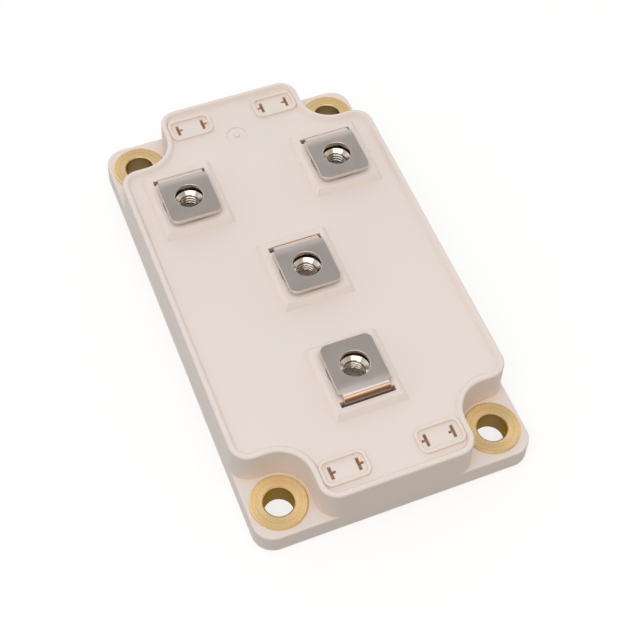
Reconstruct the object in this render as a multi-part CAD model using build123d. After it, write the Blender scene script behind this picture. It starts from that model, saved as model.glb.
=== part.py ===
from build123d import *
from math import atan2, degrees, radians, tan
import os

os.makedirs("parts", exist_ok=True)

# Bridge rectifier module, all lengths in millimetres.
# Origin: middle of the underside. +X to the right, +Y towards the pair of AC terminals, +Z up.

# Overall outline
module_length = 108.0
module_width = 62.0
mount_from_side = 7.0
mount_from_end = 7.5
draft_angle = 1.5
cut_margin = 1.0
tolerance = 0.01

# Moulded case
case_bottom = 0.25
flange_top = 5.3
rim_top = 14.1
deck_top = 13.4
deck_thickness = 2.6
wall_thickness = 2.6
flange_corner_radius = 4.6
notch_past_bushing = 6.75
notch_inner_radius = 6.7
notch_outer_radius = 4.4
flange_edge_fillet = 0.4
rim_edge_fillet = 0.5
rim_foot_width = 1.9
rim_inner_slope = 35.0

# Raised pads under the terminals
pad_top = 14.7
pad_half_width = 7.15
pad_front_reach = 7.3
pad_back_reach = 9.2
pad_side_run = 0.95
pad_edge_fillet = 0.15

# Where the terminals stand
pair_from_side = 13.1
pair_from_end = 27.75
centre_y = -0.45
front_from_end = 26.5

# Bent terminal strip
strip_thickness = 0.9
strip_gap = 0.9
strip_width = 11.8
strip_corner_radius = 1.7
neck_width = 10.4
neck_start = 5.7
free_end_reach = 6.3
leg_outer_face = 7.7
bend_outer_radius = 2.1
shoulder_start = 4.3
shoulder_slope = 8.0
shoulder_radius = 12.0
terminal_hole_radius = 3.17
foot_length = 4.5

# Slot in the pad for the leg
slot_half_width = 6.1
slot_inner_clearance = 0.15
slot_outer_clearance = 0.25

# Captive nut and its well
nut_across_flats = 8.0
nut_height = 4.2
nut_below_pad = 0.55
nut_bore_radius = 2.1
nut_countersink_radius = 2.95
nut_countersink_depth = 1.1
nut_corner_chamfer = 0.35
nut_corner_turned = 0.6
nut_side_clearance = 0.1
nut_pocket_radius = 5.95
screw_room_radius = 2.8
screw_room_depth = 2.2
well_wall = 2.0
well_floor = 0.9

# Turned bushings in the four corners
bushing_radius = 6.05
bushing_bore_radius = 3.2
bushing_top = 5.9
bushing_chamfer = 0.25
bushing_groove_depth = 0.5
bushing_groove_low = 2.0
bushing_groove_high = 3.4

# Rounded rings with T slots near the short ends
ring_from_notch = 6.8
ring_from_end = 6.25
ring_length = 10.3
ring_width = 6.2
ring_height = 0.5
ring_wall = 0.8
ring_corner_radius = 1.8
ring_side_slope = 8.0
ring_edge_fillet = 0.15
t_slot_spacing = 6.0
t_slot_length = 2.9
t_slot_width = 0.7
t_slot_branch = 0.71
t_slot_branch_width = 0.56
t_slot_depth = 1.8

# Moulding gate mark
gate_x = -1.0
gate_from_end = 12.2
gate_radius = 2.4
gate_depth = 0.1
gate_nub_radius = 0.6
gate_nub_height = 0.2

# Base plate and the bead that bonds it to the case
plate_thickness = 3.0
plate_side_gap = 0.15
plate_rebate_wall = 1.25
bead_thickness = 0.3
bead_width = 0.9
bead_inset = 0.25
plate_edge_chamfer = 0.3

# Bonded substrates: back copper, ceramic, copper tracks
ceramic_side_clearance = 3.2
ceramic_end_clearance = 1.15
ceramic_gap = 1.6
ceramic_thickness = 0.6
copper_thickness = 0.3
copper_edge = 0.8
track_gap = 1.2
side_track_width = 9.6
head_track_length = 13.2
foot_track_length = 14.0

# Diode chips
chip_size = 8.0
chip_thickness = 0.4
lower_chip_from_track_end = 4.0

# Bond wires
wires_per_chip = 3
wire_radius = 0.2
wire_spacing = 2.2
wire_rise = 1.5
wire_bend = 1.2
wire_inset = 1.6

# Places that follow from the outline
mount_x = module_width / 2 - mount_from_side
mount_y = module_length / 2 - mount_from_end
notch_x = mount_x - notch_past_bushing
notch_y = mount_y - notch_past_bushing
ring_x = notch_x - ring_from_notch
ring_y = module_length / 2 - ring_from_end
gate_y = module_length / 2 - gate_from_end
pair_x = module_width / 2 - pair_from_side
pair_y = module_length / 2 - pair_from_end
front_y = front_from_end - module_length / 2

# Terminals: hole centre and the side on which the strip bends down
terminal_places = {
    "ac_terminal_left": (-pair_x, pair_y, 1),
    "ac_terminal_right": (pair_x, pair_y, 1),
    "positive_terminal": (0.0, centre_y, 1),
    "negative_terminal": (0.0, front_y, -1),
}

# Heights of the layers on the base plate
ceramic_bottom = plate_thickness + copper_thickness
track_bottom = ceramic_bottom + ceramic_thickness
track_top = track_bottom + copper_thickness
chip_top = track_top + chip_thickness

# Limits of one substrate, right-hand side
ceramic_in = ceramic_gap / 2
ceramic_out = module_width / 2 - wall_thickness - ceramic_side_clearance
ceramic_end = notch_y - wall_thickness - ceramic_end_clearance
copper_in = ceramic_in + copper_edge
copper_out = ceramic_out - copper_edge
copper_end = ceramic_end - copper_edge
head_track_start = copper_end - head_track_length
plus_end = head_track_start - track_gap
minus_end = foot_track_length - copper_end
side_track_end = minus_end + track_gap
side_track_in = copper_out - side_track_width
plus_out = side_track_in - track_gap


def in_notch(corner):
    """Whether a corner of the plan is the inner corner of a notch."""
    return abs(abs(corner.X) - notch_x) < tolerance and abs(abs(corner.Y) - notch_y) < tolerance


def notched_plan(inset=0.0):
    """Plan of the raised body: a rectangle with a curved notch at each corner."""
    with BuildSketch() as plan:
        Rectangle(module_width, 2 * notch_y)
        Rectangle(2 * notch_x, module_length)
        fillet([v for v in plan.vertices() if not in_notch(v)], notch_outer_radius)
        fillet([v for v in plan.vertices() if in_notch(v)], notch_inner_radius)
        if inset:
            offset(amount=-inset, mode=Mode.REPLACE)
    return plan.sketch


def raised(plan, bottom, top, slope=0.0):
    """Solid on a plan between two heights, leaning in by the given angle."""
    return extrude(Pos(0, 0, bottom) * plan, amount=top - bottom, taper=slope)


def drafted(plan, bottom, top, angle):
    """Solid on a plan between two heights, its walls tilted about their lower edges."""
    block = raised(plan, bottom, top)
    walls = [face for face in block.faces() if abs(face.normal_at().Z) < 0.5]
    return draft(walls, Plane.XY.offset(bottom), angle)


def flared(inset, bottom, top, slope):
    """Solid on the notched plan that widens upwards at the given angle."""
    top_inset = inset - (top - bottom) * tan(radians(slope))
    low = Pos(0, 0, bottom) * notched_plan(inset)
    high = Pos(0, 0, top) * notched_plan(top_inset)
    return loft([low.face(), high.face()], ruled=True)


def cylinder(radius, bottom, top):
    return Pos(0, 0, bottom) * extrude(Circle(radius), amount=top - bottom)


def hexagon(across_flats):
    return RegularPolygon(across_flats / 2, 6, major_radius=False)


def bushing_outside():
    """Outer form of a bushing, with the groove that the case grips."""
    groove_radius = bushing_radius - bushing_groove_depth
    body = cylinder(bushing_radius, 0, bushing_top)
    groove = cylinder(bushing_radius + cut_margin, bushing_groove_low, bushing_groove_high)
    groove -= cylinder(groove_radius, bushing_groove_low, bushing_groove_high)
    return body - groove


def make_bushing():
    body = bushing_outside() - cylinder(bushing_bore_radius, 0, bushing_top)
    circles = body.edges().filter_by(GeomType.CIRCLE)
    top_rims = [e for e in circles if e.center().Z > bushing_top - tolerance]
    bore_rims = [e for e in circles if e.center().Z < tolerance and e.radius < bushing_bore_radius + tolerance]
    return chamfer(top_rims + bore_rims, bushing_chamfer)


def make_nut():
    body = extrude(hexagon(nut_across_flats), amount=nut_height)
    tip_radius = nut_across_flats / 3 ** 0.5
    # the corners are turned off at 30 degrees on both faces
    round_off = cylinder(tip_radius + tolerance, 0, nut_height)
    round_off = chamfer(round_off.edges().filter_by(GeomType.CIRCLE), nut_corner_chamfer, nut_corner_turned)
    body = body & round_off
    body -= cylinder(nut_bore_radius, 0, nut_height)
    bore_rims = [e for e in body.edges().filter_by(GeomType.CIRCLE) if e.radius < nut_bore_radius + tolerance]
    return chamfer(bore_rims, nut_countersink_depth, nut_countersink_radius - nut_bore_radius)


def near(corners, y):
    """Those corners that lie at a given Y."""
    return [corner for corner in corners if abs(corner.Y - y) < tolerance]


def make_terminal(foot_bottom):
    """Strip with its hole centre on the Z axis and the bend on the +Y side."""
    bottom = pad_top + strip_gap
    top = bottom + strip_thickness
    leg_inner_face = leg_outer_face - strip_thickness
    foot_end = leg_inner_face - foot_length
    # the strip starts to fall away a little before the bend
    fall = tan(radians(shoulder_slope))
    inner_shoulder = shoulder_start - strip_thickness * tan(radians(shoulder_slope / 2))
    points = [
        (-free_end_reach, top),
        (shoulder_start, top),
        (leg_outer_face, top - (leg_outer_face - shoulder_start) * fall),
        (leg_outer_face, foot_bottom),
        (foot_end, foot_bottom),
        (foot_end, foot_bottom + strip_thickness),
        (leg_inner_face, foot_bottom + strip_thickness),
        (leg_inner_face, bottom - (leg_inner_face - inner_shoulder) * fall),
        (inner_shoulder, bottom),
        (-free_end_reach, bottom),
    ]
    with BuildSketch(Plane.YZ) as side:
        Polygon(*points, align=None)
        fillet(near(side.vertices(), leg_outer_face), bend_outer_radius)
        fillet(near(side.vertices(), leg_inner_face), bend_outer_radius - strip_thickness)
        fillet(near(side.vertices(), shoulder_start), shoulder_radius)
        fillet(near(side.vertices(), inner_shoulder), shoulder_radius - strip_thickness)
    strip = extrude(side.sketch, amount=strip_width / 2, both=True)

    neck_cut = (strip_width - neck_width) / 2
    cut_length = leg_outer_face - neck_start + cut_margin
    for sign in (-1, 1):
        cut_x = sign * (strip_width / 2 - neck_cut / 2)
        side_cut = Box(neck_cut, cut_length, 2 * top + cut_margin)
        strip -= Pos(cut_x, neck_start + cut_length / 2, 0) * side_cut
        # the foot is as narrow as the neck
        foot_cut = Box(neck_cut, 2 * leg_outer_face + cut_margin, 2 * strip_thickness + cut_margin)
        strip -= Pos(cut_x, 0, foot_bottom) * foot_cut
    strip -= cylinder(terminal_hole_radius, bottom - cut_margin, top + cut_margin)
    free_corners = [e for e in strip.edges().filter_by(Axis.Z) if e.center().Y < -free_end_reach + tolerance]
    strip = fillet([e for e in free_corners if e.center().Z > bottom], strip_corner_radius)
    return strip


def make_pad():
    """Raised pad around the origin, longer on the +Y side where the strip bends."""
    length = pad_front_reach + pad_back_reach
    middle = (pad_back_reach - pad_front_reach) / 2
    foot = Rectangle(2 * (pad_half_width + pad_side_run), length + 2 * pad_side_run)
    slope = degrees(atan2(pad_side_run, pad_top - deck_top))
    body = raised(Pos(0, middle) * foot, deck_top, pad_top, slope)
    rim = body.faces().sort_by(Axis.Z)[-1].edges()
    return fillet(rim, pad_edge_fillet)


def make_ring():
    outer = RectangleRounded(ring_length, ring_width, ring_corner_radius)
    inner_length = ring_length - 2 * ring_wall
    inner_width = ring_width - 2 * ring_wall
    inner = RectangleRounded(inner_length, inner_width, ring_corner_radius - ring_wall)
    ring_top = deck_top + ring_height
    wall = raised(outer, deck_top, ring_top, ring_side_slope)
    wall -= raised(inner, deck_top, ring_top, -ring_side_slope)
    top_edges = wall.faces().sort_by(Axis.Z)[-1].edges()
    return fillet(top_edges, ring_edge_fillet)


def t_slot(toward):
    """One blind T slot; its short branch points along X in the given direction."""
    bar = Rectangle(t_slot_width, t_slot_length)
    branch_reach = t_slot_width / 2 + t_slot_branch
    branch = Pos(toward * branch_reach / 2, 0) * Rectangle(branch_reach, t_slot_branch_width)
    return raised(bar + branch, deck_top - t_slot_depth, deck_top + cut_margin)


def corner_places():
    for sx in (-1, 1):
        for sy in (-1, 1):
            yield sx * mount_x, sy * mount_y


def turned(solid, side):
    """Terminals that bend on the -Y side are the same pieces turned half round."""
    return solid if side > 0 else Rot(0, 0, 180) * solid


def make_case():
    flange_plan = RectangleRounded(module_width, module_length, flange_corner_radius)
    flange = drafted(flange_plan, case_bottom, flange_top, draft_angle)
    flange = fillet(flange.faces().sort_by(Axis.Z)[-1].edges(), flange_edge_fillet)
    body = drafted(notched_plan(), case_bottom, rim_top, draft_angle)
    body = fillet(body.faces().sort_by(Axis.Z)[-1].edges(), rim_edge_fillet)
    case = flange + body

    # sunk deck inside the raised rim
    case -= flared(rim_foot_width, deck_top, rim_top + cut_margin, rim_inner_slope)

    # pads, rings and gate mark on the deck
    pad = make_pad()
    for x, y, side in terminal_places.values():
        case += Pos(x, y, 0) * turned(pad, side)
    ring = make_ring()
    for sx in (-1, 1):
        for sy in (-1, 1):
            case += Pos(sx * ring_x, sy * ring_y, 0) * ring
    gate = Pos(gate_x, gate_y, 0)
    gate_floor = deck_top - gate_depth
    case -= gate * cylinder(gate_radius, gate_floor, deck_top + cut_margin)
    case += gate * cylinder(gate_nub_radius, gate_floor - cut_margin, gate_floor + gate_nub_height)

    # hollow from below, with a rebate for the base plate
    roof = deck_top - deck_thickness
    case -= raised(notched_plan(wall_thickness), case_bottom - cut_margin, roof)
    shelf = plate_thickness + bead_thickness
    case -= raised(notched_plan(plate_rebate_wall), case_bottom - cut_margin, shelf)

    # nut wells: boss below the deck, hexagon for the nut, room for the screw end
    nut_top = pad_top - nut_below_pad
    nut_bottom = nut_top - nut_height
    room_bottom = nut_bottom - screw_room_depth
    leg_inner_face = leg_outer_face - strip_thickness
    slot_start = leg_inner_face - slot_inner_clearance
    slot_end = leg_outer_face + slot_outer_clearance
    slot = Pos(0, (slot_start + slot_end) / 2) * Rectangle(2 * slot_half_width, slot_end - slot_start)
    nut_seat = hexagon(nut_across_flats + 2 * nut_side_clearance)
    for x, y, side in terminal_places.values():
        here = Pos(x, y, 0)
        case += here * cylinder(screw_room_radius + well_wall, room_bottom - well_floor, roof + tolerance)
        case -= here * cylinder(screw_room_radius, room_bottom, pad_top + cut_margin)
        case -= here * raised(nut_seat, nut_bottom, pad_top + cut_margin)
        case -= here * cylinder(nut_pocket_radius, nut_top, pad_top + cut_margin)
        case -= here * turned(raised(slot, roof - cut_margin, pad_top + cut_margin), side)

    # T slots in the deck inside the rings
    for sx in (-1, 1):
        for sy in (-1, 1):
            for along in (-0.5, 0.5):
                place = Pos(sx * ring_x + along * t_slot_spacing, sy * ring_y, 0)
                case -= place * t_slot(-sx)

    # seats moulded round the bushings
    for x, y in corner_places():
        case -= Pos(x, y, 0) * bushing_outside()
    return case


def make_plate():
    outline = notched_plan(plate_rebate_wall + plate_side_gap)
    plate = raised(outline, 0, plate_thickness)
    return chamfer(plate.faces().sort_by(Axis.Z)[0].edges(), plate_edge_chamfer)


def make_bead():
    outside = notched_plan(plate_rebate_wall + plate_side_gap + bead_inset)
    inside = notched_plan(plate_rebate_wall + plate_side_gap + bead_inset + bead_width)
    return raised(outside - inside, plate_thickness, plate_thickness + bead_thickness)


def area(x_low, x_high, y_low, y_high, bottom, thickness):
    """Flat block between two corners."""
    block = Box(x_high - x_low, y_high - y_low, thickness)
    return Pos((x_low + x_high) / 2, (y_low + y_high) / 2, bottom + thickness / 2) * block


def substrate_layers():
    """Layers of the right-hand substrate by name."""
    back = area(copper_in, copper_out, -copper_end, copper_end, plate_thickness, copper_thickness)
    ceramic = area(ceramic_in, ceramic_out, -ceramic_end, ceramic_end, ceramic_bottom, ceramic_thickness)
    ac_track = area(side_track_in, copper_out, side_track_end, copper_end, track_bottom, copper_thickness)
    ac_track += area(copper_in, copper_out, head_track_start, copper_end, track_bottom, copper_thickness)
    plus_track = area(copper_in, plus_out, side_track_end, plus_end, track_bottom, copper_thickness)
    minus_track = area(copper_in, copper_out, -copper_end, minus_end, track_bottom, copper_thickness)
    return {
        "substrate_back_copper": back,
        "substrate_ceramic": ceramic,
        "ac_track": ac_track,
        "positive_track": plus_track,
        "negative_track": minus_track,
    }


def make_wire(span):
    """Looped wire in the XZ plane, from a chip at the origin down to a track at +X."""
    with BuildLine(Plane.XZ) as path:
        Line((0, 0), (0, wire_rise))
        Line((0, wire_rise), (span, wire_rise))
        Line((span, wire_rise), (span, -chip_thickness))
        corners = path.vertices().filter_by_position(Axis.Z, wire_rise - tolerance, wire_rise + tolerance)
        fillet(corners, wire_bend)
    profile = Plane.XY * Circle(wire_radius)
    return sweep(profile, path=path.wire())


def chip_and_wires():
    """Chips and wire runs of the right-hand substrate by name."""
    half = chip_size / 2
    upper_x = (copper_in + plus_out) / 2
    upper_y = (centre_y + leg_outer_face + plus_end) / 2
    lower_x = (side_track_in + copper_out) / 2
    lower_y = side_track_end + lower_chip_from_track_end + half
    chip = Box(chip_size, chip_size, chip_thickness, align=(Align.CENTER, Align.CENTER, Align.MIN))
    pieces = {
        "upper_chip": Pos(upper_x, upper_y, track_top) * chip,
        "lower_chip": Pos(lower_x, lower_y, track_top) * chip,
    }
    upper_start = upper_x + half - wire_inset
    upper_wire = make_wire(side_track_in + wire_inset - upper_start)
    lower_start = lower_y - half + wire_inset
    lower_wire = make_wire(lower_start - (minus_end - wire_inset))
    for index in range(wires_per_chip):
        shift = (index - (wires_per_chip - 1) / 2) * wire_spacing
        pieces[f"upper_wire_{index + 1}"] = Pos(upper_start, upper_y + shift, chip_top) * upper_wire
        lower_place = Pos(lower_x + shift, lower_start, chip_top)
        pieces[f"lower_wire_{index + 1}"] = lower_place * Rot(0, 0, -90) * lower_wire
    return pieces


def save(solid, name):
    if hasattr(solid, "solids") and len(solid.solids()) == 1:
        solid = solid.solids()[0]
    solid.label = name
    export_step(solid, os.path.join("parts", name + ".step"))


save(make_case(), "case")
save(make_plate(), "base_plate")
save(make_bead(), "adhesive_bead")

bushing = make_bushing()
for x, y in corner_places():
    end = "front" if y < 0 else "far"
    hand = "left" if x < 0 else "right"
    save(Pos(x, y, 0) * bushing, f"bushing_{end}_{hand}")

terminal = make_terminal(track_top)
nut = make_nut()
for name, (x, y, side) in terminal_places.items():
    save(Pos(x, y, 0) * turned(terminal, side), name)
    nut_bottom = pad_top - nut_below_pad - nut_height
    save(Pos(x, y, nut_bottom) * nut, name.replace("terminal", "nut"))

for name, solid in {**substrate_layers(), **chip_and_wires()}.items():
    save(solid, name + "_right")
    save(mirror(solid, about=Plane.YZ), name + "_left")
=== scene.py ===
# %% [markdown]
# # Bridge rectifier module
# A flat power module: an off-white plastic case with four brass bushings in its corners
# and four bent metal strips on top, each over a captive nut. The solids come from the
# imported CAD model, so this file adds what a drawing doesn't hold: threads, finishes,
# light and the camera. The first cell loads that model and measures it.

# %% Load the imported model
import math

import bmesh
import bpy
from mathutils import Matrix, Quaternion, Vector


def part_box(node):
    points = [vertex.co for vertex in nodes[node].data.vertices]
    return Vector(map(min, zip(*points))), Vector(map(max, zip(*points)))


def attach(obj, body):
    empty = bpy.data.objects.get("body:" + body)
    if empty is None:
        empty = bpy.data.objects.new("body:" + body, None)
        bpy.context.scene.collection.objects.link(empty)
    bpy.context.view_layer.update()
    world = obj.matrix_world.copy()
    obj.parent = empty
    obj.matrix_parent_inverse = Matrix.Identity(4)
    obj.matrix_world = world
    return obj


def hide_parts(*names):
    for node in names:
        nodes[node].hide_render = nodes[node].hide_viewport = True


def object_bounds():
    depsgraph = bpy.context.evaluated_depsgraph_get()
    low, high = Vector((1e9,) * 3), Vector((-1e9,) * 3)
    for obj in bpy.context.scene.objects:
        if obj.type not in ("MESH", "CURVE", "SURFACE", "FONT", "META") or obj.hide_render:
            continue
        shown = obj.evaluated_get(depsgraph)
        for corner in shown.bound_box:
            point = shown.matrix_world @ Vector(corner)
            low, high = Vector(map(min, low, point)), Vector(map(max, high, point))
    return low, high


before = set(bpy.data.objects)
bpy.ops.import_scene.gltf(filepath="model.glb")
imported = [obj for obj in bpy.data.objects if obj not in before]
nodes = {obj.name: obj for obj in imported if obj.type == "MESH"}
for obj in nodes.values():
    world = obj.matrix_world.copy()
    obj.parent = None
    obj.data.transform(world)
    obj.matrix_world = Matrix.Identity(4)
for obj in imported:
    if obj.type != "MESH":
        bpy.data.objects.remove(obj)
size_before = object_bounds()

MM = 0.001
print("pieces from CAD:", len(nodes))

# %% [markdown]
# Colours are easiest to compare with a photograph as sRGB hex values, but shaders work
# with linear light. One function turns a hex value into the linear numbers that a
# socket wants. A second one adds a shader node, sets its values and links its inputs,
# so that each material below reads as a short recipe. The others start a material,
# spread hex colours along a ramp and put the finished material on pieces.

# %% Helpers for materials
# a Mix node has several sockets named A and B, so its colour sockets go by number
MIX_A, MIX_B, MIX_OUT = 6, 7, 2


def linear(hex_colour):
    """sRGB hex such as '#E6DBD5' to linear red, green, blue and alpha."""
    parts = [int(hex_colour[i:i + 2], 16) / 255 for i in (1, 3, 5)]
    return [c / 12.92 if c <= 0.04045 else ((c + 0.055) / 1.055) ** 2.4 for c in parts] + [1.0]


def add(tree, kind, inputs=None, **settings):
    """Adds a node; inputs maps a socket to a value or to another node's output."""
    node = tree.nodes.new(kind)
    for name, value in settings.items():
        setattr(node, name, value)
    for key, value in (inputs or {}).items():
        if isinstance(value, bpy.types.NodeSocket):
            tree.links.new(value, node.inputs[key])
        else:
            node.inputs[key].default_value = value
    return node


def new_finish(name, **shader):
    """A material with one Principled shader; returns the material, its tree and the shader."""
    material = bpy.data.materials.new(name)
    material.use_nodes = True
    tree = material.node_tree
    principled = tree.nodes["Principled BSDF"]
    for key, value in shader.items():
        principled.inputs[key.replace("_", " ")].default_value = value
    return material, tree, principled


def tones(tree, factor, stops):
    """A colour that follows factor; stops maps a place from 0 to 1 to a hex value."""
    ramp = add(tree, "ShaderNodeValToRGB", {"Fac": factor})
    elements = ramp.color_ramp.elements
    for number, (place_on_ramp, hex_colour) in enumerate(stops.items()):
        # a new ramp already has two stops
        stop = elements[number] if number < 2 else elements.new(place_on_ramp)
        stop.position = place_on_ramp
        stop.color = linear(hex_colour)
    return ramp.outputs["Color"]


def dress(pieces, material):
    """Puts one material on each piece, in place of what it has."""
    for piece in pieces:
        piece.data.materials.clear()
        piece.data.materials.append(material)


print("helpers ready")

# %% [markdown]
# ## The case: moulded PBT
# PBT is the tough, slightly warm off-white plastic of many power modules. The tool that
# moulds it is spark-eroded, which leaves a very fine satin grain, and the edges of a
# moulding are never knife-sharp. The grain could be a picture, but a noise texture with
# a real grain size works at any distance. The Bevel node rounds the small edges that
# the solid leaves sharp, without touching the mesh. Light also goes a little way into
# this plastic and comes out warmer, which is why its narrow slots look light brown and
# its creases cream. Subsurface scattering would do that too, but it costs time and blurs
# small steps, so an Ambient Occlusion node finds the narrow places and warms their
# colour instead.

# %% Moulded PBT
GRAIN_SIZE = 0.22 * MM        # spark-eroded grain, drawn a little coarse so that it shows
GRAIN_DEPTH = 0.02 * MM
FLOW_SIZE = 22 * MM           # broad, faint cloudiness of the melt
EDGE_ROUNDING = 0.22 * MM
GLOW_REACH = 2.0 * MM         # how near another wall must be for the warm glow
GLOW_TINTS = {0.1: "#FFE6C4", 0.6: "#FFF9F1", 1.0: "#FFFFFF"}     # from deep slots to open faces

pbt, tree, shader = new_finish("PBT_off_white_moulded", Roughness=0.46, IOR=1.5)
place = add(tree, "ShaderNodeTexCoord")
cloud = add(tree, "ShaderNodeTexNoise", {
    "Vector": place.outputs["Object"], "Scale": 1 / FLOW_SIZE, "Detail": 3.0})
tone = tones(tree, cloud.outputs["Fac"], {0: "#E4D9D3", 1: "#E8DDD7"})
narrow = add(
    tree, "ShaderNodeAmbientOcclusion", {"Distance": GLOW_REACH}, samples=8, only_local=True)
warm = tones(tree, narrow.outputs["AO"], GLOW_TINTS)
glow = add(
    tree, "ShaderNodeMix", {"Factor": 1.0, MIX_A: tone, MIX_B: warm},
    data_type="RGBA", blend_type="MULTIPLY")
tree.links.new(glow.outputs[MIX_OUT], shader.inputs["Base Color"])
grain = add(tree, "ShaderNodeTexNoise", {
    "Vector": place.outputs["Object"], "Scale": 1 / GRAIN_SIZE, "Detail": 2.0})
soft_edge = add(tree, "ShaderNodeBevel", {"Radius": EDGE_ROUNDING}, samples=4)
relief = add(tree, "ShaderNodeBump", {
    "Height": grain.outputs["Fac"], "Strength": 0.25, "Distance": GRAIN_DEPTH,
    "Normal": soft_edge.outputs["Normal"]})
tree.links.new(relief.outputs["Normal"], shader.inputs["Normal"])
gloss = add(tree, "ShaderNodeMapRange", {
    "Value": grain.outputs["Fac"], "To Min": 0.42, "To Max": 0.52})
tree.links.new(gloss.outputs["Result"], shader.inputs["Roughness"])
dress([nodes["case"]], pbt)
print("case grain", GRAIN_SIZE / MM, "mm")

# %% [markdown]
# ## The bushings: turned brass
# Each bushing is cut on a lathe, so its face carries fine rings round its own centre and
# catches light in a fan across them. Generated coordinates run from 0 to 1 across each
# piece, so the distance from their middle is a radius that is right for every bushing
# with one material. The rings are a sine wave of that radius, the bore gets a darker
# brown tone than the face, which is painted shade for the hollow, and anisotropy
# spreads the highlight.

# %% Turned brass
TOOL_FEED = 0.16 * MM         # advance of the lathe tool per turn
GROOVE_DEPTH = 0.01 * MM
WEAR_RING_SIZE = 0.45 * MM
SPECK_SIZE = 0.35 * MM
BORE_MOTTLE_SIZE = 2.5 * MM
BUSHING_WIDTH = 12.1 * MM
BORE_EDGE = 0.269             # radius of the bore and its chamfer, as a part of that width
BORE_EDGE_BLEND = 0.006       # how soft the change of tone is there

brass, tree, shader = new_finish("brass_turned", Metallic=1.0, Roughness=0.44, Anisotropic=0.45)
shader.inputs["Specular Tint"].default_value = linear("#E8C88A")
place = add(tree, "ShaderNodeTexCoord")
centred = add(
    tree, "ShaderNodeVectorMath", {0: place.outputs["Generated"], 1: (0.5, 0.5, 0.5)},
    operation="SUBTRACT")
flat = add(
    tree, "ShaderNodeVectorMath", {0: centred.outputs[0], 1: (1.0, 1.0, 0.0)},
    operation="MULTIPLY")
radius = add(tree, "ShaderNodeVectorMath", {0: flat.outputs[0]}, operation="LENGTH")
turns = add(
    tree, "ShaderNodeMath", {
        0: radius.outputs["Value"], 1: 2 * math.pi * BUSHING_WIDTH / TOOL_FEED},
    operation="MULTIPLY")
groove = add(tree, "ShaderNodeMath", {0: turns.outputs[0]}, operation="SINE")
bore_mottle = add(tree, "ShaderNodeTexNoise", {
    "Vector": place.outputs["Object"], "Scale": 1 / BORE_MOTTLE_SIZE, "Detail": 4.0})
ring_place = add(tree, "ShaderNodeCombineXYZ", {0: radius.outputs["Value"]})
ring_noise = add(tree, "ShaderNodeTexNoise", {
    "Vector": ring_place.outputs[0], "Scale": BUSHING_WIDTH / WEAR_RING_SIZE, "Detail": 3.0})
speck = add(tree, "ShaderNodeTexNoise", {
    "Vector": place.outputs["Object"], "Scale": 1 / SPECK_SIZE, "Detail": 3.0})
# two noises add up to about 0.7 to 1.3, which is spread over 0 to 1
wear_sum = add(
    tree, "ShaderNodeMath", {0: ring_noise.outputs["Fac"], 1: speck.outputs["Fac"]},
    operation="ADD")
wear = add(tree, "ShaderNodeMapRange", {
    "Value": wear_sum.outputs[0], "From Min": 0.7, "From Max": 1.3})
face_tone = tones(tree, wear.outputs["Result"], {0: "#E6C487", 1: "#FBDDAA"})
# painted shade: the bore's darker brown stands for the shade in the hollow, mottled at random
painted_bore_shade = tones(tree, bore_mottle.outputs["Fac"], {0: "#3A250E", 1: "#463016"})
on_face = add(tree, "ShaderNodeMapRange", {
    "Value": radius.outputs["Value"], "From Min": BORE_EDGE - BORE_EDGE_BLEND,
    "From Max": BORE_EDGE})
tone = add(
    tree, "ShaderNodeMix", {
        "Factor": on_face.outputs["Result"], MIX_A: painted_bore_shade, MIX_B: face_tone},
    data_type="RGBA")
tree.links.new(tone.outputs[MIX_OUT], shader.inputs["Base Color"])
gloss = add(tree, "ShaderNodeMapRange", {
    "Value": wear.outputs["Result"], "To Min": 0.4, "To Max": 0.5})
tree.links.new(gloss.outputs["Result"], shader.inputs["Roughness"])
relief = add(tree, "ShaderNodeBump", {
    "Height": groove.outputs[0], "Strength": 0.12, "Distance": GROOVE_DEPTH})
tree.links.new(relief.outputs["Normal"], shader.inputs["Normal"])
around = add(tree, "ShaderNodeTangent", direction_type="RADIAL", axis="Z")
tree.links.new(around.outputs["Tangent"], shader.inputs["Tangent"])
bushings = [nodes[name] for name in nodes if name.startswith("bushing")]
dress(bushings, brass)
print("bushings:", len(bushings))

# %% [markdown]
# ## Pieces with a mesh of their own
# The strips and the nuts below get a finer mesh than their CAD solids. Both are built
# face by face, so their faces may point either way at first. One function turns them
# outwards and shades them smooth, up to an angle that keeps the real edges sharp.

# %% From faces to an object
SMOOTH_UP_TO = math.radians(28)


def new_object(mesh, name):
    """Makes an object of that name from a bmesh and frees the bmesh."""
    bmesh.ops.recalc_face_normals(mesh, faces=mesh.faces)
    data = bpy.data.meshes.new(name)
    mesh.to_mesh(data)
    mesh.free()
    for face in data.polygons:
        face.use_smooth = True
    data.set_sharp_from_angle(angle=SMOOTH_UP_TO)
    made = bpy.data.objects.new(name, data)
    bpy.context.collection.objects.link(made)
    return made


print("edges stay sharp above", round(math.degrees(SMOOTH_UP_TO)), "degrees")

# %% [markdown]
# ## The terminal strips: stamped and bent
# A press stamps each strip flat, with its hole and its rounded free end, and then bends
# it: first a gentle fall, then a tight bend into the leg that goes down into the case.
# The CAD strips have that path with plain corners, so new meshes with the round bend
# stand for them. A modifier could bend a flat plate, but walking the outer face's path
# keeps every size in hand: go some way, turn on a radius, go on.

# %% Sizes of a strip
# as in the CAD model; lengths along the strip count from the hole's centre to the leg
STRIP_THICKNESS = 0.9 * MM
HALF_WIDTH = 5.9 * MM
NECK_HALF_WIDTH = 5.2 * MM
NECK_START = 5.7 * MM
FREE_END_REACH = 6.3 * MM     # the other way
CORNER_RADIUS = 1.7 * MM
HOLE_RADIUS = 3.17 * MM
LEG_OUTER_FACE = 7.7 * MM
FOOT_END = 2.3 * MM
SHOULDER_START = 4.3 * MM
SHOULDER_RADIUS = 12 * MM
SHOULDER_SLOPE = math.radians(8)
BEND_RADIUS = 2.1 * MM        # of the outer face
QUARTER = math.pi / 2

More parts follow.
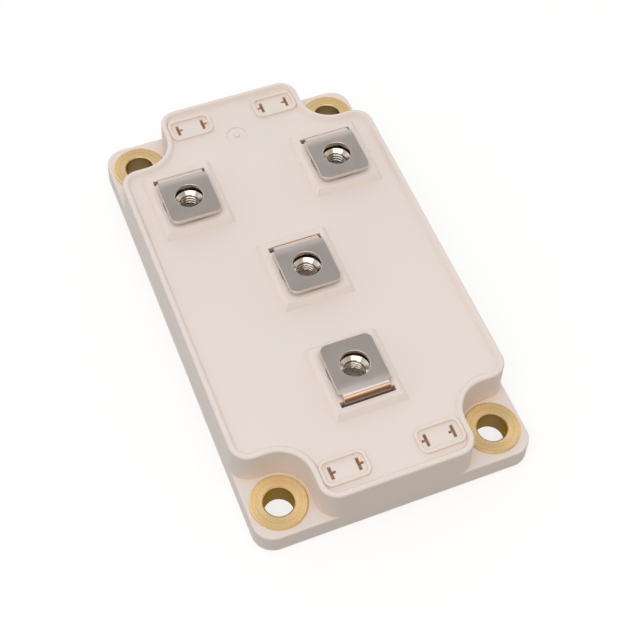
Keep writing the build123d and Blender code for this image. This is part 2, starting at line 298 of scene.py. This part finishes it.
shoulder_cut = SHOULDER_RADIUS * math.tan(SHOULDER_SLOPE / 2)
bend_cut = BEND_RADIUS * math.tan((QUARTER - SHOULDER_SLOPE) / 2)
flat_end = SHOULDER_START - shoulder_cut
print("flat part ends", round(flat_end / MM, 2), "mm from the hole")


# %% Path of the outer face
def strip_path(top, foot):
    """Stations from the end of the flat part to the foot's end: y, z and turn from level."""
    slope_start = SHOULDER_START + shoulder_cut * math.cos(SHOULDER_SLOPE)
    to_neck = (NECK_START - slope_start) / math.cos(SHOULDER_SLOPE)
    slope_length = (LEG_OUTER_FACE - SHOULDER_START) / math.cos(SHOULDER_SLOPE)
    slope_length -= shoulder_cut + bend_cut
    leg_top = top - (LEG_OUTER_FACE - SHOULDER_START) * math.tan(SHOULDER_SLOPE)
    # ("go", length) or ("turn", radius, angle, steps)
    moves = [
        ("turn", SHOULDER_RADIUS, SHOULDER_SLOPE, 6),
        ("go", to_neck),
        ("go", slope_length - to_neck),
        ("turn", BEND_RADIUS, QUARTER - SHOULDER_SLOPE, 20),
        ("go", leg_top - foot - bend_cut - BEND_RADIUS),
        ("turn", BEND_RADIUS, QUARTER, 12),
        ("go", LEG_OUTER_FACE - BEND_RADIUS - FOOT_END),
    ]
    y, z, turned = flat_end, top, 0.0
    stations = [(y, z, turned)]
    for kind, *values in moves:
        steps = values[2] if kind == "turn" else 1
        for _ in range(steps):
            if kind == "turn":
                step = values[1] / steps
                chord = 2 * values[0] * math.sin(step / 2)
                y += chord * math.cos(turned + step / 2)
                z -= chord * math.sin(turned + step / 2)
                turned += step
            else:
                y += values[0] * math.cos(turned)
                z -= values[0] * math.sin(turned)
            stations.append((y, z, turned))
    return stations


print("stations on a strip's path:", len(strip_path(10 * MM, 5 * MM)))


# %% Outline of the flat part
def flat_reach(angle):
    """Distance from the hole's centre to the flat part's outline in that direction."""
    across, along = math.cos(angle), math.sin(angle)
    reach = HALF_WIDTH / max(abs(across), 1e-9)
    if along > 0:
        return min(reach, flat_end / along)
    reach = min(reach, FREE_END_REACH / max(-along, 1e-9))
    corner_x = HALF_WIDTH - CORNER_RADIUS
    corner_y = FREE_END_REACH - CORNER_RADIUS
    if abs(across) * reach > corner_x and -along * reach > corner_y:
        # where the ray leaves the corner's circle
        towards = abs(across) * corner_x - along * corner_y
        beside = corner_x ** 2 + corner_y ** 2 - towards ** 2
        reach = towards + math.sqrt(CORNER_RADIUS ** 2 - beside)
    return reach


print("free end reaches", round(flat_reach(-QUARTER) / MM, 2), "mm from the hole")

# %% Strip mesh
RAYS = 120                    # from the hole to the outline


def bent_strip(name):
    """The strip with the round bend; its leg's end meets the CAD strip's lowest level."""
    low, high = (Vector(corner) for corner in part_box(name))
    top, foot = high.z, low.z
    centre_x = (low.x + high.x) / 2
    # the leg is on the far side, except on the front strip, which is turned round
    forward = "negative" in name
    centre_y = low.y + LEG_OUTER_FACE if forward else high.y - LEG_OUTER_FACE
    sign = -1 if forward else 1
    mesh = bmesh.new()
    inner = {}
    bent = mesh.verts.layers.float.new("bent_by")

    def point(x, y, z, turned):
        """A vertex of the outer face, and its partner one thickness further in."""
        down_y = STRIP_THICKNESS * math.sin(turned)
        down_z = STRIP_THICKNESS * math.cos(turned)
        outer = mesh.verts.new((centre_x + sign * x, centre_y + sign * y, z))
        inner[outer] = mesh.verts.new((
            centre_x + sign * x, centre_y + sign * (y - down_y), z - down_z))
        for vertex in (outer, inner[outer]):
            vertex[bent] = min(turned / QUARTER, 1)
        return outer

    # flat part: rays from the hole's edge to the outline
    angles = [2 * math.pi * step / RAYS for step in range(RAYS)]
    for half in (HALF_WIDTH, NECK_HALF_WIDTH):
        angles += [math.atan2(flat_end, half), math.atan2(flat_end, -half)]
    angles = sorted(set(angles))
    hole = [point(HOLE_RADIUS * math.cos(a), HOLE_RADIUS * math.sin(a), top, 0) for a in angles]
    reaches = [flat_reach(a) for a in angles]
    rim = [point(r * math.cos(a), r * math.sin(a), top, 0) for r, a in zip(reaches, angles)]
    faces = []
    for index in range(len(angles)):
        after = (index + 1) % len(angles)
        faces.append((hole[index], rim[index], rim[after], hole[after]))

    # bent part: the far side of the outline is carried along the path
    first = math.atan2(flat_end, HALF_WIDTH)
    tiny = 1e-9
    row = [(r * math.cos(a), vertex) for r, a, vertex in zip(reaches, angles, rim)
           if first - tiny <= a <= math.pi - first + tiny]
    for y, z, turned in strip_path(top, foot)[1:]:
        if y > NECK_START + tiny or turned > QUARTER:
            row = [pair for pair in row if abs(pair[0]) <= NECK_HALF_WIDTH + tiny]
        new_row = [(x, point(x, y, z, turned)) for x, _ in row]
        for (_, a), (_, b), (_, c), (_, d) in zip(row, row[1:], new_row[1:], new_row):
            faces.append((a, d, c, b))
        row = new_row

    for corners in faces:
        mesh.faces.new(corners)
    open_edges = [tuple(edge.verts) for edge in mesh.edges if edge.is_boundary]
    for corners in faces:
        mesh.faces.new([inner[corner] for corner in reversed(corners)])
    for a, b in open_edges:
        # the second material is for the sheared edges
        mesh.faces.new((a, b, inner[b], inner[a])).material_index = 1
    strip = new_object(mesh, name + "_bent")
    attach(strip, "root")
    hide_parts(name)
    return strip


strips = [bent_strip(name) for name in sorted(nodes) if "terminal" in name]
for strip in strips:
    print(strip.name, "faces", len(strip.data.polygons))

# %% [markdown]
# The strips are rolled copper, plated with satin nickel. That gives an even warm grey
# with a soft sheen and almost no grain. On the outside of the tight bend the plating is
# drawn thin and the copper shows, so the mesh carries a number for how far each point
# was bent, and a ramp turns it into tones: partly that copper, and partly painted light,
# a painted dark line, a painted glint and painted brown shade along the bend, before the
# leg's paler grey. The sheared edges are rougher and more cream than grey; the cream is
# partly their own tone and partly a painted reflection of the pale case. A small Bevel
# modifier rounds them over as stamping does, and lets them catch a thin line of light.

# %% Nickel-plated strips
PLATING_GRAIN = 0.12 * MM
PLATING_CLOUDS = 4 * MM
PLATING_RELIEF = 0.01 * MM
TEAR_SIZE = 0.25 * MM         # roughness that the shears leave
TEAR_DEPTH = 0.03 * MM
ROLLED_EDGE = 0.12 * MM
ROLLED_FROM = math.radians(40)          # edges flatter than this stay as they are
# by how far the strip is bent: grey, a painted dark line, a painted glint on copper, copper under
# painted brown shade, the leg's paler grey
BEND_TONES_FROM, BEND_TONES_TO = 0.18, 0.24
BEND_COPPER_AND_GLINT_TONES = {
    0.2: "#C8BEB8", 0.26: "#8E7263", 0.34: "#FFE4C8", 0.42: "#E0B48C",
    0.5: "#8A6248", 0.66: "#8A6E5C", 0.82: "#B4A69A", 1.0: "#BCB0A6"}

nickel_strip, tree, shader = new_finish("nickel_plated_copper_stamped", Metallic=1.0, Roughness=0.3)
place = add(tree, "ShaderNodeTexCoord")
speck = add(tree, "ShaderNodeTexNoise", {
    "Vector": place.outputs["Object"], "Scale": 1 / PLATING_GRAIN, "Detail": 3.0})
cloud = add(tree, "ShaderNodeTexNoise", {
    "Vector": place.outputs["Object"], "Scale": 1 / PLATING_CLOUDS, "Detail": 3.0})
plating = tones(tree, cloud.outputs["Fac"], {0: "#C8BEB8", 1: "#D2C8C2"})
bent_by = add(tree, "ShaderNodeAttribute", attribute_name="bent_by")
# painted light along the bend: a dark line, a glint and brown shade over the copper that shows through
bend_copper_and_glint = tones(tree, bent_by.outputs["Fac"], BEND_COPPER_AND_GLINT_TONES)
on_bend = add(tree, "ShaderNodeMapRange", {
    "Value": bent_by.outputs["Fac"], "From Min": BEND_TONES_FROM, "From Max": BEND_TONES_TO})
tone = add(
    tree, "ShaderNodeMix", {
        "Factor": on_bend.outputs["Result"], MIX_A: plating, MIX_B: bend_copper_and_glint},
    data_type="RGBA")
tree.links.new(tone.outputs[MIX_OUT], shader.inputs["Base Color"])
gloss = add(tree, "ShaderNodeMapRange", {
    "Value": cloud.outputs["Fac"], "To Min": 0.27, "To Max": 0.35})
tree.links.new(gloss.outputs["Result"], shader.inputs["Roughness"])
relief = add(tree, "ShaderNodeBump", {
    "Height": speck.outputs["Fac"], "Strength": 0.12, "Distance": PLATING_RELIEF})
tree.links.new(relief.outputs["Normal"], shader.inputs["Normal"])

sheared, tree, shader = new_finish("nickel_plated_copper_sheared", Metallic=1.0, Roughness=0.5)
place = add(tree, "ShaderNodeTexCoord")
tear = add(tree, "ShaderNodeTexNoise", {
    "Vector": place.outputs["Object"], "Scale": 1 / TEAR_SIZE, "Detail": 4.0})
# the cream tone is partly the sheared metal's own and partly a painted reflection of the pale case
tone = tones(tree, tear.outputs["Fac"], {0: "#CDBBAC", 1: "#F5E9DE"})
tree.links.new(tone, shader.inputs["Base Color"])
relief = add(tree, "ShaderNodeBump", {
    "Height": tear.outputs["Fac"], "Strength": 0.4, "Distance": TEAR_DEPTH})
tree.links.new(relief.outputs["Normal"], shader.inputs["Normal"])

for strip in strips:
    # in the order of the mesh's material numbers
    strip.data.materials.append(nickel_strip)
    strip.data.materials.append(sheared)
    edge = strip.modifiers.new("rolled_edge", "BEVEL")
    edge.width = ROLLED_EDGE
    edge.segments = 2
    edge.limit_method = "ANGLE"
    edge.angle_limit = ROLLED_FROM
print("strips dressed:", len(strips))

# %% [markdown]
# ## The captive nuts
# Through each strip's hole the thread of a nut shows, with a bright countersink. The CAD
# nut has a plain bore, so a new mesh stands for it. A helix could be swept and cut out
# of a body, but a thread is simpler as a height field: every point of the wall is moved
# out by a ramp that depends on its height and its angle, and that ramp is the thread.

# %% Shape of the nut and its thread
THREAD_PITCH = 0.8 * MM
THREAD_DEPTH = 0.42 * MM
CREST_SHARE = 0.2             # of half a pitch
FLANK_SHARE = 0.62
BORE_RADIUS = 2.1 * MM
COUNTERSINK_RADIUS = 3.4 * MM
COUNTERSINK_DEPTH = 1.1 * MM
CORNER_START = 0.12 * MM      # how far past the sides the turned corners begin
CORNER_SLOPE = 1.73           # out per length down, about 30 degrees to the face


def hexagon_reach(angle, flat_distance):
    """Distance from the axis to the hexagon's side in that direction; corners lie on the X axis."""
    turn = math.radians(60)
    return flat_distance / math.cos(angle % turn - turn / 2)


def thread_reach(angle, height):
    """Radius of the threaded wall: flat crest, sloping flanks, flat root."""
    phase = (height / THREAD_PITCH - angle / (2 * math.pi)) % 1
    ramp = (abs(2 * phase - 1) - CREST_SHARE) / FLANK_SHARE
    return BORE_RADIUS + THREAD_DEPTH * min(max(ramp, 0), 1)


# painted shade and oil: darker in the thread's roots, where thin plating and oil add to it, and more
# with depth; the countersink stays bright; the face and sides outside it get painted shade from the
# strip above
SHADE_BELOW = COUNTERSINK_DEPTH * 0.75
SHADE_WITHIN = THREAD_DEPTH * 1.05
SHADE_PER_MM = 0.12
FACE_FROM = COUNTERSINK_RADIUS - BORE_RADIUS - 0.05 * MM
FACE_SHADE = 0.8


def oil_and_shade_at(out, below):
    """How dark a point is, from how far it lies outside the crest and below the face."""
    if below > SHADE_BELOW and out < SHADE_WITHIN:
        return min(out / THREAD_DEPTH + SHADE_PER_MM * below / MM, 1.0)
    return FACE_SHADE if out > FACE_FROM else 0.0


print("thread", round(2 * (BORE_RADIUS + THREAD_DEPTH) / MM), "mm, pitch", round(THREAD_PITCH / MM, 2))

# %% Nut mesh with a real thread
SEGMENTS = 96
ROW_STEP = 0.06 * MM


def threaded_nut(name):
    """A hexagon nut as rings of points: up the outside, then down the threaded wall."""
    low, high = (Vector(corner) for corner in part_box(name))
    centre = (low + high) / 2
    height = high.z - low.z
    flat_distance = (high.y - low.y) / 2
    mesh = bmesh.new()

    def ring(reach, level):
        points = []
        for index in range(SEGMENTS):
            angle = 2 * math.pi * index / SEGMENTS
            radius = reach(angle)
            points.append(mesh.verts.new((
                centre.x + radius * math.cos(angle), centre.y + radius * math.sin(angle),
                low.z + level)))
        return points

    def side(level):
        # the corners are turned off towards both faces
        from_face = min(level, height - level)
        turned = flat_distance + CORNER_START + CORNER_SLOPE * from_face
        return lambda angle: min(hexagon_reach(angle, flat_distance), turned)

    def wall(level):
        from_face = min(level, height - level)
        slope = (COUNTERSINK_RADIUS - BORE_RADIUS) / COUNTERSINK_DEPTH
        countersink = COUNTERSINK_RADIUS - slope * from_face
        return lambda angle: max(thread_reach(angle, level), countersink)

    rows = []
    side_levels = [0, 0.1 * MM, 0.2 * MM, 0.35 * MM, height / 2]
    side_levels += [height - level for level in reversed(side_levels[:-1])]
    for level in side_levels:
        rows.append(ring(side(level), level))
    steps = round(height / ROW_STEP)
    for step in range(steps + 1):
        level = height * (1 - step / steps)
        rows.append(ring(wall(level), level))
    for first, second in zip(rows, rows[1:] + rows[:1]):
        for index in range(SEGMENTS):
            after = (index + 1) % SEGMENTS
            mesh.faces.new((first[index], first[after], second[after], second[index]))
    nut = new_object(mesh, name + "_threaded")
    # how dark each point is painted: oil and painted shade in the roots, painted shade with depth and
    # under the strip
    groove = nut.data.attributes.new("oil_and_shade", "FLOAT", "POINT")
    for index, vertex in enumerate(nut.data.vertices):
        out = math.hypot(vertex.co.x - centre.x, vertex.co.y - centre.y) - BORE_RADIUS
        groove.data[index].value = oil_and_shade_at(out, high.z - vertex.co.z)
    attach(nut, "root")
    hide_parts(name)
    return nut


nuts = [threaded_nut(name) for name in sorted(nodes) if "nut" in name]
print("nuts:", len(nuts), "faces each:", len(nuts[0].data.polygons))

# %% [markdown]
# The nuts are bright nickel over steel. A low roughness makes the thread's flanks
# flash, and a faint straw tone keeps them apart from the grey strips. The mesh carries a
# number for how dark each point is, and the tone runs to a dark brown with it: in the
# thread's roots that is thin plating and oil together with painted shade, deeper down it
# is more painted shade, and on the face and sides outside the countersink it is painted
# shade from the strip above.

# %% Bright nickel
BRIGHT_SPECKS = 0.3 * MM

bright_nickel, tree, shader = new_finish("nickel_plated_steel_bright", Metallic=1.0, Roughness=0.16)
place = add(tree, "ShaderNodeTexCoord")
speck = add(tree, "ShaderNodeTexNoise", {
    "Vector": place.outputs["Object"], "Scale": 1 / BRIGHT_SPECKS, "Detail": 3.0})
bright = tones(tree, speck.outputs["Fac"], {0: "#E4DACD", 1: "#F2EBE2"})
oil_and_shade = add(tree, "ShaderNodeAttribute", attribute_name="oil_and_shade")
tone = add(
    tree, "ShaderNodeMix", {
        "Factor": oil_and_shade.outputs["Fac"], MIX_A: bright, MIX_B: linear("#3C2A1C")},
    data_type="RGBA")
tree.links.new(tone.outputs[MIX_OUT], shader.inputs["Base Color"])
gloss = add(tree, "ShaderNodeMapRange", {
    "Value": speck.outputs["Fac"], "To Min": 0.1, "To Max": 0.22})
tree.links.new(gloss.outputs["Result"], shader.inputs["Roughness"])
dress(nuts, bright_nickel)
print("nut finish set")

# %% [markdown]
# ## Underside and inner pieces
# The base plate is lapped flat and nickel-plated, so it shows short straight scratches
# in one direction: noise stretched along Y. The pieces inside the case aren't seen in
# the photograph, but each still gets its real finish for anyone who takes the case off.

# %% Lapped and plated base plate
LAP_WIDTH = 0.15 * MM
LAP_LENGTH = 12 * MM
LAP_DEPTH = 0.01 * MM
PLATE_CLOUDS = 15 * MM

lapped, tree, shader = new_finish("nickel_plated_copper_lapped", Metallic=1.0, Roughness=0.38)
place = add(tree, "ShaderNodeTexCoord")
along_y = add(
    tree, "ShaderNodeVectorMath", {
        0: place.outputs["Object"], 1: (1 / LAP_WIDTH, 1 / LAP_LENGTH, 1 / LAP_WIDTH)},
    operation="MULTIPLY")
scratch = add(tree, "ShaderNodeTexNoise", {
    "Vector": along_y.outputs[0], "Scale": 1.0, "Detail": 3.0})
cloud = add(tree, "ShaderNodeTexNoise", {
    "Vector": place.outputs["Object"], "Scale": 1 / PLATE_CLOUDS, "Detail": 4.0})
tone = tones(tree, cloud.outputs["Fac"], {0: "#B3ACA3", 1: "#C4BDB4"})
tree.links.new(tone, shader.inputs["Base Color"])
gloss = add(tree, "ShaderNodeMapRange", {
    "Value": scratch.outputs["Fac"], "To Min": 0.28, "To Max": 0.5})
tree.links.new(gloss.outputs["Result"], shader.inputs["Roughness"])
relief = add(tree, "ShaderNodeBump", {
    "Height": scratch.outputs["Fac"], "Strength": 0.2, "Distance": LAP_DEPTH})
tree.links.new(relief.outputs["Normal"], shader.inputs["Normal"])
dress([nodes["base_plate"]], lapped)
print("base plate finish set")

# %% Inner pieces
INNER_RELIEF = 0.01 * MM
INNER_FINISHES = {
    # finish: (word in the pieces' names, metallic, roughness, darker and lighter tone, grain in mm)
    "silicone_adhesive_cured": ("adhesive", 0.0, 0.55, "#3A3B3D", "#47484A", 0.8),
    "alumina_fired": ("ceramic", 0.0, 0.62, "#E6E6E0", "#F0F0EB", 0.15),
    "copper_bonded_bare": ("track", 1.0, 0.42, "#B06A45", "#CB8660", 0.35),
    "copper_bonded_back": ("copper", 1.0, 0.45, "#AA6540", "#C57F5A", 0.35),
    "silicon_metallised": ("chip", 0.9, 0.3, "#8E8F94", "#A5A6AB", 0.25),
    "aluminium_wire_drawn": ("wire", 1.0, 0.3, "#C6C8CA", "#DADCDE", 0.1),
}

for finish, (word, metallic, roughness, low, high, grain_mm) in INNER_FINISHES.items():
    material, tree, shader = new_finish(finish, Metallic=metallic, Roughness=roughness)
    place = add(tree, "ShaderNodeTexCoord")
    speck = add(tree, "ShaderNodeTexNoise", {
        "Vector": place.outputs["Object"], "Scale": 1 / (grain_mm * MM), "Detail": 3.0})
    tone = tones(tree, speck.outputs["Fac"], {0: low, 1: high})
    tree.links.new(tone, shader.inputs["Base Color"])
    relief = add(tree, "ShaderNodeBump", {
        "Height": speck.outputs["Fac"], "Strength": 0.15, "Distance": INNER_RELIEF})
    tree.links.new(relief.outputs["Normal"], shader.inputs["Normal"])
    inner_pieces = [nodes[name] for name in nodes if word in name]
    dress(inner_pieces, material)
    print(finish, len(inner_pieces))

# %% [markdown]
# ## Table and background
# The module lies on a white table that fills the picture. A table as white as that
# would bounce so much light back that the case's walls lose their shade, so for that
# light it counts as mid grey. For the camera and in reflections a steady glow lifts it
# to white, and the part of it that the lamp lights keeps the object's soft shadow.

# %% White table
TABLE_SIZE = 4.0
TABLE_GLOW = 0.74

bpy.ops.mesh.primitive_plane_add(size=TABLE_SIZE, location=(0, 0, size_before[0][2]))
table_top = bpy.context.object
table_top.name = "table_top"
white, tree, shader = new_finish("paper_white_table", Roughness=0.9)
tree.nodes.remove(shader)
bounced = add(tree, "ShaderNodeBsdfDiffuse", {"Color": linear("#7E776F")})
lamp_lit = add(tree, "ShaderNodeBsdfDiffuse", {"Color": linear("#909090")})
lift = add(tree, "ShaderNodeEmission", {"Color": (1, 1, 1, 1), "Strength": TABLE_GLOW})
seen = add(tree, "ShaderNodeAddShader", {0: lamp_lit.outputs[0], 1: lift.outputs[0]})
ray = add(tree, "ShaderNodeLightPath")
camera_or_gloss = add(
    tree, "ShaderNodeMath", {
        0: ray.outputs["Is Camera Ray"], 1: ray.outputs["Is Glossy Ray"]},
    operation="MAXIMUM")
any_view = add(
    tree, "ShaderNodeMath", {
        0: camera_or_gloss.outputs[0], 1: ray.outputs["Is Transmission Ray"]},
    operation="MAXIMUM")
table_mix = add(tree, "ShaderNodeMixShader", {
    0: any_view.outputs[0], 1: bounced.outputs[0], 2: seen.outputs[0]})
tree.links.new(table_mix.outputs[0], tree.nodes["Material Output"].inputs["Surface"])
table_top.data.materials.append(white)
print("table at", round(size_before[0][2], 5), "m")

# %% [markdown]
# ## Light
# The photograph has soft, even light from above with hardly any shadow, and its metal
# shows three things: a calm grey on the flat strips, white where they bend away, and a
# bright band where they bend towards the camera. So the room is brightest near the
# horizon, most of all at the back, and calmer higher up, and one wide lamp hangs
# overhead. The two together add up to about 1 on a level face, so a colour renders
# about as it is written.

# %% Soft room
# strength of the room's light; Y runs from -1 at the front to 1 at the back
FRONT_HORIZON = 0.66
BACK_HORIZON = 1.45
HIGH_LIGHT = 0.43
FRONT_Y, BACK_Y = -0.6, 0.9
HORIZON_UP_TO = math.radians(18)
HIGH_FROM = math.radians(52)
WARM_FROM_Y, WARM_TO_Y = -0.15, -0.8

world = bpy.data.worlds.new("soft_room")
bpy.context.scene.world = world
world.use_nodes = True
tree = world.node_tree
direction = add(tree, "ShaderNodeTexCoord")
part = add(tree, "ShaderNodeSeparateXYZ", {0: direction.outputs["Generated"]})
# the horizon grows brighter from the front to the back
horizon = add(tree, "ShaderNodeMapRange", {
    "Value": part.outputs["Y"], "From Min": FRONT_Y, "From Max": BACK_Y,
    "To Min": FRONT_HORIZON, "To Max": BACK_HORIZON})
room = add(
    tree, "ShaderNodeMapRange", {
        "Value": part.outputs["Z"],
        "From Min": math.sin(HORIZON_UP_TO), "From Max": math.sin(HIGH_FROM),
        "To Min": horizon.outputs["Result"], "To Max": HIGH_LIGHT},
    interpolation_type="SMOOTHSTEP")
# the camera itself sees plain white; 2 and 3 are the Mix node's number sockets
ray = add(tree, "ShaderNodeLightPath")
strength = add(
    tree, "ShaderNodeMix", {
        "Factor": ray.outputs["Is Camera Ray"], 2: room.outputs["Result"], 3: 1.0},
    data_type="FLOAT")
tree.links.new(strength.outputs[0], tree.nodes["Background"].inputs["Strength"])
# the light from the front is a little warm, and from the back neutral
warmth = add(tree, "ShaderNodeMapRange", {
    "Value": part.outputs["Y"], "From Min": WARM_FROM_Y, "From Max": WARM_TO_Y})
warm_or_neutral = tones(tree, warmth.outputs["Result"], {0: "#FFFFFF", 1: "#FFF3E2"})
seen_colour = add(
    tree, "ShaderNodeMix", {
        "Factor": ray.outputs["Is Camera Ray"], MIX_A: warm_or_neutral, MIX_B: (1, 1, 1, 1)},
    data_type="RGBA")
tree.links.new(seen_colour.outputs[MIX_OUT], tree.nodes["Background"].inputs["Color"])
print("horizon", FRONT_HORIZON, "to", BACK_HORIZON, "and above", HIGH_LIGHT)

# %% Lamp
LAMP_HEIGHT = 0.85
LAMP_WIDTH, LAMP_LENGTH = 0.95, 1.05
LAMP_LEFT, LAMP_FRONT = 0.16, 0.26
LAMP_SHARE = 0.635            # of the light on a level face
lamp_data = bpy.data.lights.new("softbox", "AREA")
lamp_data.shape = "RECTANGLE"
lamp_data.size = LAMP_WIDTH
lamp_data.size_y = LAMP_LENGTH
lamp_data.energy = LAMP_SHARE * math.pi * math.pi * LAMP_HEIGHT ** 2
lamp = bpy.data.objects.new("softbox", lamp_data)
lamp.location = (-LAMP_LEFT, -LAMP_FRONT, LAMP_HEIGHT)
lamp.rotation_euler = (Vector((0, 0, 0)) - lamp.location).to_track_quat("-Z", "Y").to_euler()
bpy.context.collection.objects.link(lamp)
print("lamp power", round(lamp_data.energy, 2), "W")

# %% [markdown]
# ## Camera
# The camera was placed by fitting the four bushings, the case's edges and the strips'
# holes to the photograph: it stands at the front left, about 0.29 m away and 57 degrees
# up, turned by 3 degrees about its own line of sight.

# %% Camera
CAMERA_PLACE = Vector((-66.16, -154.91, 251.99)) * MM
CAMERA_TARGET = Vector((-1.05, -11.14, 10.0)) * MM
CAMERA_ROLL = math.radians(3.09)

camera_data = bpy.data.cameras.new("photo_camera")
camera_data.lens = 74.9
camera_data.sensor_width = 36.0
camera = bpy.data.objects.new("photo_camera", camera_data)
camera.location = CAMERA_PLACE
camera.rotation_mode = "QUATERNION"
sight = (CAMERA_TARGET - CAMERA_PLACE).to_track_quat("-Z", "Y")
camera.rotation_quaternion = sight @ Quaternion((0, 0, 1), CAMERA_ROLL)
camera_data.clip_start = 0.01
bpy.context.collection.objects.link(camera)
bpy.context.scene.camera = camera
bpy.context.scene.view_settings.view_transform = "Standard"
print("camera distance", round((CAMERA_TARGET - CAMERA_PLACE).length, 3), "m")
